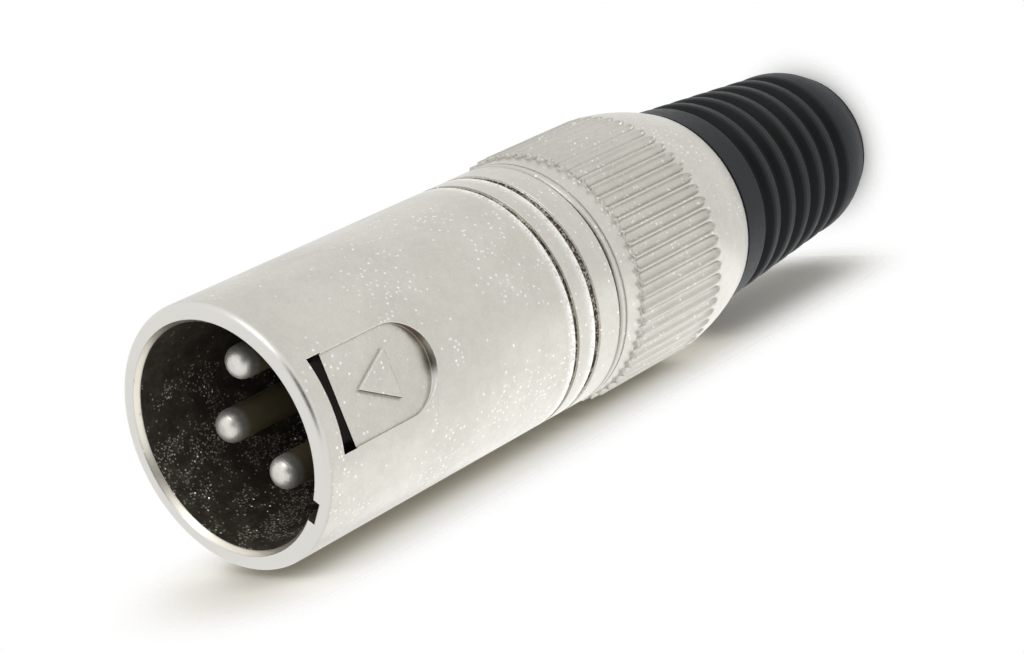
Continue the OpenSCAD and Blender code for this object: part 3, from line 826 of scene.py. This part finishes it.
    def socket(self, at: ShellSurface) -> Socket:
        """Masks the socket's wall and seat, below the chamfer.

        Args:
            at: The shell's surface.

        Returns:
            The mask's socket.
        """
        seat = at.rim - self.socket_depth - self.margin
        depth = at.wiring.between(at.up, seat, at.rim - self.mouth_chamfer)
        wall = at.wiring.between(at.out, 0.0, at.outside - self.wall + self.margin)
        return at.wiring.product(wall, depth)

    def keyway(self, at: ShellSurface) -> Socket:
        """Masks the walls and the floor of the keyway.

        Args:
            at: The shell's surface.

        Returns:
            The mask's socket.
        """
        turn = math.radians(-90.0 - self.keyway_angle)
        outward = at.wiring.along(at.place, (math.cos(turn), math.sin(turn), 0.0))
        across = at.wiring.along(at.place, (-math.sin(turn), math.cos(turn), 0.0))
        inner = at.outside - self.wall
        deep = at.wiring.between(outward, inner - self.keyway_depth, inner + self.keyway_depth + self.margin)
        half = self.keyway_w / 2 + self.margin
        wide = at.wiring.between(across, -half, half)
        tall = at.wiring.between(at.up, at.rim - self.keyway_len - self.margin, at.rim - self.margin)
        return at.wiring.product(deep, wide, tall)


@dataclass
class ContactSet:
    """The pin carrier, the three contacts and the shell contact.

    Attributes:
        pins: The contacts' nodes.
        dome: Height of a contact's domed tip.
        tarnish_len: How far behind the dome the plating has turned fully yellow.
        tarnish: The colour of that plating.
        metallic: How metallic the plating looks.
    """

    pins: tuple[str, ...] = ("pin_1", "pin_2", "pin_3")
    dome: float = 1.1 * MM
    tarnish_len: float = 0.6 * MM
    tarnish: Colour = (0.38, 0.325, 0.195, 1.0)
    metallic: float = 0.82

    def dress(self, effects: EffectLibrary) -> None:
        """Dresses the carrier, the contacts and the shell contact.

        Args:
            effects: The shared node groups.
        """
        dress("insert", BLACK_MOULDING.material(effects))
        dress("shell_contact", SPRING_BRONZE.material(effects))
        made = self.tarnished(effects)
        for pin in self.pins:
            dress(pin, made)

    def tarnished(self, effects: EffectLibrary) -> bpy.types.Material:
        """Builds the contacts' plating, bright on the dome and yellowed behind it.

        Args:
            effects: The shared node groups.

        Returns:
            The material.
        """
        made = PLATED_CONTACT.material(effects)
        wiring = Wiring(made.node_tree)
        up = wiring.along(wiring.here(), AXIS)
        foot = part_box(self.pins[0])[1][2] - self.dome
        behind = wiring.span(up, foot - self.tarnish_len, foot, 1.0, 0.0)
        surface = surface_of(made).inputs
        wiring.cover(surface["Base Color"], behind, self.tarnish)
        surface["Metallic"].default_value = self.metallic
        return made


@dataclass
class CableGrip:
    """The jawed clamp that closes on the cable."""

    def dress(self, effects: EffectLibrary) -> None:
        """Dresses the clamp."""
        dress("cable_clamp", WHITE_MOULDING.material(effects))


@dataclass
class ScrewCollar:
    """The fluted collar, in the shell's plating.

    Attributes:
        flutes_at: How far behind the collar's front end the flutes start.
        corner_len: Length of the corners that are darkened with painted shade.
        corner_shade: Colour of the painted shade in those corners.
        corner_crevice: The crevice that they are.
        grain: Colour of the bright grains between them, painted highlights.
        grains: How those grains lie.
    """

    flutes_at: float = 2.4 * MM
    corner_len: float = 0.32 * MM
    corner_shade: Colour = (0.06, 0.05, 0.04, 1.0)
    corner_crevice: Inputs = setting(Reach=0.4 * MM, Full=0.72, Clear=0.93, Rag=0.5)
    grain: Colour = (0.98, 0.97, 0.94, 1.0)
    grains: Inputs = setting(Cell=0.16 * MM, Cluster=2 * MM, Share=0.25, Tilt=0.0)

    def dress(self, effects: EffectLibrary) -> None:
        """Dresses the collar, with painted shade and bright grains of painted highlight in the corners ahead
        of the flutes.

        Args:
            effects: The shared node groups.
        """
        made = FLUTED_NICKEL.material(effects, "satin_nickel_fluted")
        wiring = Wiring(made.node_tree)
        base = surface_of(made).inputs["Base Color"]
        up = wiring.along(wiring.here(), AXIS)
        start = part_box("collar")[1][2] - self.flutes_at
        band = wiring.between(up, start - self.corner_len, start + self.corner_len / 3)
        # Painted shade in the corners ahead of the flutes, by ambient occlusion.
        near = effects.place(wiring, Effect.CREVICE, **self.corner_crevice).outputs["Shade"]
        wiring.cover(base, wiring.product(band, near), self.corner_shade)
        # Painted highlight: bright grains in those corners.
        bright = effects.place(wiring, Effect.GLINTS, **self.grains).outputs["Mask"]
        wiring.cover(base, wiring.product(band, bright), self.grain)
        dress("collar", made)


@dataclass
class StrainBoot:
    """The ribbed rubber boot."""

    def dress(self, effects: EffectLibrary) -> None:
        """Dresses the boot."""
        dress("boot", BLACK_RUBBER.material(effects))


@dataclass
class Studio:
    """Floor, backdrop, surroundings, lamps and a dark card.

    Attributes:
        floor_r: Radius of the floor and of the backdrop.
        floor_fade: The distances from the plug's axis between which the floor turns clear.
        floor_colour: The floor's colour near the plug.
        dull_roughness: The roughness of the floor and the backdrop.
        dull_gloss: Their specular level.
        backdrop_gap: How far from the plug's axis the backdrop stands.
        backdrop_span: The heights between which the backdrop is seen beside the plug.
        backdrop_fade: The distances from there between which it turns clear.
        backdrop_colour: The backdrop's colour near the plug.
        shade_span: The heights between which the plug lies close to it.
        shade_fade: The distances from there between which its shade ends.
        shade_colour: The colour of that shade, a painted shadow.
        card_at: Where the dark card stands.
        card_r: Its radius.
        card_colour: Its colour.
        card_roughness: Its roughness.
        key_at: Where the key lamp stands.
        key_size: The lengths of its sides.
        key_watts: Its power.
        glow_at: Where the low lamp lies, for the light thrown up from below.
        glow_size: The lengths of its sides.
        glow_watts: Its power.
        sides: Number of sides of the round pieces' outlines.
        ambient: Brightness of the surroundings as they light dull surfaces.
        middle: The point at which the card and the lamps look.
    """

    floor_r: float = 150 * MM
    floor_fade: Span = (4.5 * MM, 8.5 * MM)
    floor_colour: Colour = (0.96, 0.95, 0.935, 1.0)
    dull_roughness: float = 0.8
    dull_gloss: float = 0.1
    backdrop_gap: float = 9.95 * MM
    backdrop_span: Span = (6.5 * MM, 70 * MM)
    backdrop_fade: Span = (2.5 * MM, 11 * MM)
    backdrop_colour: Colour = (0.96, 0.93, 0.865, 1.0)
    shade_span: Span = (30 * MM, 67 * MM)
    shade_fade: Span = (0.8 * MM, 6 * MM)
    shade_colour: Colour = (0.36, 0.335, 0.28, 1.0)
    card_at: Vector = at_mm(35.0, -215.0, 260.0)
    card_r: float = 115 * MM
    card_colour: Colour = (0.02, 0.014, 0.010, 1.0)
    card_roughness: float = 0.9
    key_at: Vector = at_mm(270.0, -105.0, 255.0)
    key_size: tuple[float, float] = (120 * MM, 120 * MM)
    key_watts: float = 0.14
    glow_at: Vector = at_mm(-59.5, 0.0, 2.0)
    glow_size: tuple[float, float] = (91 * MM, 90 * MM)
    glow_watts: float = 0.0091
    sides: int = 96
    ambient: float = 0.95
    middle: Vector = at_mm(0.0, 0.0, 45.0)

    def build(self) -> None:
        """Makes the floor, the backdrop, the surroundings, the lamps and the card."""
        bpy.context.scene.view_settings.view_transform = "Standard"
        self.floor()
        self.backdrop()
        self.surroundings()
        self.card(self.card_at)
        self.lamp("key", self.key_at, self.key_size, self.key_watts)
        self.lamp("table_glow", self.glow_at, self.glow_size, self.glow_watts, lying=True)

    def disc(self, name: str, radius: float) -> bpy.types.Object:
        """Makes a flat round piece of the stage, facing up at the origin.

        Args:
            name: Its name.
            radius: Its radius.

        Returns:
            The object.
        """
        ring = [(radius * math.cos(a), radius * math.sin(a), 0.0)
                for a in (math.tau * i / self.sides for i in range(self.sides))]
        mesh = bpy.data.meshes.new(name)
        mesh.from_pydata(ring, [], [tuple(range(self.sides))])
        made = bpy.data.objects.new(name, mesh)
        bpy.context.scene.collection.objects.link(made)
        return made

    def seen(self, wiring: Wiring) -> Socket:
        """Masks the rays by which the camera sees the background, directly, in metal or through glass.

        Args:
            wiring: The tree of a material or the world.

        Returns:
            The mask's socket.
        """
        path = wiring.add("ShaderNodeLightPath")
        mirrored = wiring.math("MAXIMUM", path.outputs["Is Glossy Ray"], path.outputs["Is Transmission Ray"])
        return wiring.math("MAXIMUM", path.outputs["Is Camera Ray"], mirrored)

    def floor(self) -> None:
        """A pale floor that keeps the plug's shadow near its foot and turns clear further out."""
        made, wiring, place = self.pale("floor", self.floor_colour)
        self.clear(made, wiring, wiring.from_axis(place), self.floor_fade)
        self.disc("floor", self.floor_r).data.materials.append(made)

    def backdrop(self) -> None:
        """A sheet beside the plug that carries its shadow, deepened close to the plug by a painted shadow,
        and that only the camera sees.
        """
        sheet = self.disc("backdrop", self.floor_r)
        sheet.location = PHOTO_UP * -self.backdrop_gap
        sheet.rotation_euler = PHOTO_UP.to_track_quat("Z", "Y").to_euler()
        sheet.visible_diffuse = False
        sheet.visible_glossy = False
        sheet.visible_transmission = False
        sheet.visible_shadow = False
        made, wiring, place = self.pale("backdrop", self.backdrop_colour)
        # Painted shadow: close to the plug the backdrop is drawn darker, deepening its cast shadow.
        close = wiring.span(self.from_plug(wiring, place, self.shade_span), *self.shade_fade, 1.0, 0.0)
        shaded = wiring.blend(close, self.backdrop_colour, self.shade_colour)
        wiring.feed(surface_of(made).inputs["Base Color"], shaded)
        self.clear(made, wiring, self.from_plug(wiring, place, self.backdrop_span), self.backdrop_fade)
        sheet.data.materials.append(made)

    def from_plug(self, wiring: Wiring, place: Socket, heights: Span) -> Socket:
        """Measures the distance on the backdrop from the line beside the plug.

        Args:
            wiring: The backdrop's tree.
            place: The place on it.
            heights: Where the line starts and ends.

        Returns:
            The distance's socket.
        """
        aside = wiring.along(place, (1.0, 0.0, 0.0))
        height = wiring.along(place, (0.0, 1.0, 0.0))
        low, high = heights
        off = wiring.math("ABSOLUTE", wiring.math("SUBTRACT", height, (low + high) / 2))
        past = wiring.math("MAXIMUM", wiring.math("SUBTRACT", off, (high - low) / 2), 0.0)
        squares = wiring.math("ADD", wiring.product(aside, aside), wiring.product(past, past))
        return wiring.math("SQRT", squares)

    def pale(self, name: str, colour: Colour) -> tuple[bpy.types.Material, Wiring, Socket]:
        """Starts a pale, dull material.

        Args:
            name: Its name.
            colour: Its colour.

        Returns:
            The material, its wiring and the place on the surface.
        """
        made = bpy.data.materials.new(name)
        made.use_nodes = True
        wiring = Wiring(made.node_tree)
        surface = surface_of(made).inputs
        surface["Base Color"].default_value = colour
        surface["Roughness"].default_value = self.dull_roughness
        surface["Specular IOR Level"].default_value = self.dull_gloss
        return made, wiring, wiring.here()

    def clear(self, made: bpy.types.Material, wiring: Wiring, out: Socket, fade: Span) -> None:
        """Lets the white surroundings be seen through a material away from the plug, and from behind.

        Args:
            made: The material.
            wiring: Its wiring.
            out: The distance from the plug.
            fade: The distances between which it turns clear.
        """
        away = wiring.product(wiring.span(out, *fade, 0.0, 1.0), self.seen(wiring))
        behind = wiring.add("ShaderNodeNewGeometry").outputs["Backfacing"]
        mix = wiring.add("ShaderNodeMixShader")
        wiring.feed(mix.inputs["Fac"], wiring.math("MAXIMUM", away, behind))
        wiring.feed(mix.inputs[1], surface_of(made).outputs[0])
        wiring.feed(mix.inputs[2], wiring.add("ShaderNodeBsdfTransparent").outputs[0])
        wiring.feed(made.node_tree.nodes["Material Output"].inputs["Surface"], mix.outputs[0])

    def surroundings(self) -> None:
        """White as the camera and metal see them, and a little softer as a light."""
        made = bpy.data.worlds.new("surroundings")
        bpy.context.scene.world = made
        made.use_nodes = True
        wiring = Wiring(made.node_tree)
        nodes = made.node_tree.nodes
        light = nodes["Background"]
        light.inputs["Color"].default_value = rgb(1.0, 1.0, 1.0)
        light.inputs["Strength"].default_value = self.ambient
        white = wiring.add("ShaderNodeBackground")
        white.inputs["Color"].default_value = rgb(1.0, 1.0, 1.0)
        mix = wiring.add("ShaderNodeMixShader")
        wiring.feed(mix.inputs["Fac"], self.seen(wiring))
        wiring.feed(mix.inputs[1], light.outputs[0])
        wiring.feed(mix.inputs[2], white.outputs[0])
        wiring.feed(nodes["World Output"].inputs["Surface"], mix.outputs[0])

    def face(self, thing: bpy.types.Object, place: Vector) -> None:
        """Puts a lamp or the card in its place, facing the plug."""
        thing.location = place
        thing.rotation_euler = (self.middle - place).to_track_quat("-Z", "Y").to_euler()

    def card(self, place: Vector) -> None:
        """A dark card that only the plating mirrors, which gives its grooves their dark cores.

        Args:
            place: Where it stands.
        """
        dark = self.disc("card", self.card_r)
        self.face(dark, place)
        dark.visible_camera = False
        dark.visible_diffuse = False
        dark.visible_shadow = False
        made = bpy.data.materials.new("card")
        made.use_nodes = True
        surface = surface_of(made).inputs
        surface["Base Color"].default_value = self.card_colour
        surface["Roughness"].default_value = self.card_roughness
        surface["Specular IOR Level"].default_value = 0.0
        dark.data.materials.append(made)

    def lamp(self, name: str, place: Vector, size: tuple[float, float], watts: float,
             lying: bool = False) -> None:
        """Adds a rectangular lamp.

        Args:
            name: The lamp's name.
            place: Where it is.
            size: The lengths of its sides.
            watts: Its power.
            lying: Whether it lies on the floor and shines up, and doesn't face the plug.
        """
        data = bpy.data.lights.new(name, "AREA")
        data.shape = "RECTANGLE"
        data.size, data.size_y = size
        data.energy = watts
        made = bpy.data.objects.new(name, data)
        made.visible_camera = False
        bpy.context.scene.collection.objects.link(made)
        self.face(made, place)
        if lying:
            made.rotation_euler = (math.pi, 0.0, 0.0)
        LOG.info("lamp %s", name)


@dataclass
class PhotoCamera:
    """The camera at the photograph's viewing angle.

    Attributes:
        place: Where it stands.
        aim: The point at the middle of the picture.
        lens: Focal length in millimetres.
        sensor: Width of its sensor in millimetres.
        nearest: How close to it things are still seen.
    """

    place: Vector = at_mm(17.91, -135.4, 177.5)
    aim: Vector = at_mm(-2.2, -0.32, 41.2)
    lens: float = 92.43
    sensor: float = 36.0
    nearest: float = 1 * MM

    def build(self) -> None:
        """Makes the camera and hands it to the scene."""
        data = bpy.data.cameras.new("camera")
        data.sensor_width = self.sensor
        data.lens = self.lens
        data.clip_start = self.nearest
        camera = bpy.data.objects.new("camera", data)
        bpy.context.scene.collection.objects.link(camera)
        forward = (self.aim - self.place).normalized()
        axis = Vector(AXIS)
        lean = -PHOTO_UP.dot(forward) / axis.dot(forward)
        upward = (PHOTO_UP + axis * lean).normalized()
        right = forward.cross(upward).normalized()
        turn = Matrix((right, upward, -forward)).transposed()
        camera.matrix_world = Matrix.Translation(self.place) @ turn.to_4x4()
        bpy.context.scene.camera = camera
        LOG.info("camera in place")


def main() -> None:
    """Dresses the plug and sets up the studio."""
    logging.basicConfig(level=logging.INFO, format="%(name)s: %(message)s")
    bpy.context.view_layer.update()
    effects = EffectLibrary()
    effects.build()
    for assembly in (Shell(), ContactSet(), CableGrip(), ScrewCollar(), StrainBoot()):
        assembly.dress(effects)
    Studio().build()
    PhotoCamera().build()


if __name__ == "__main__":
    main()
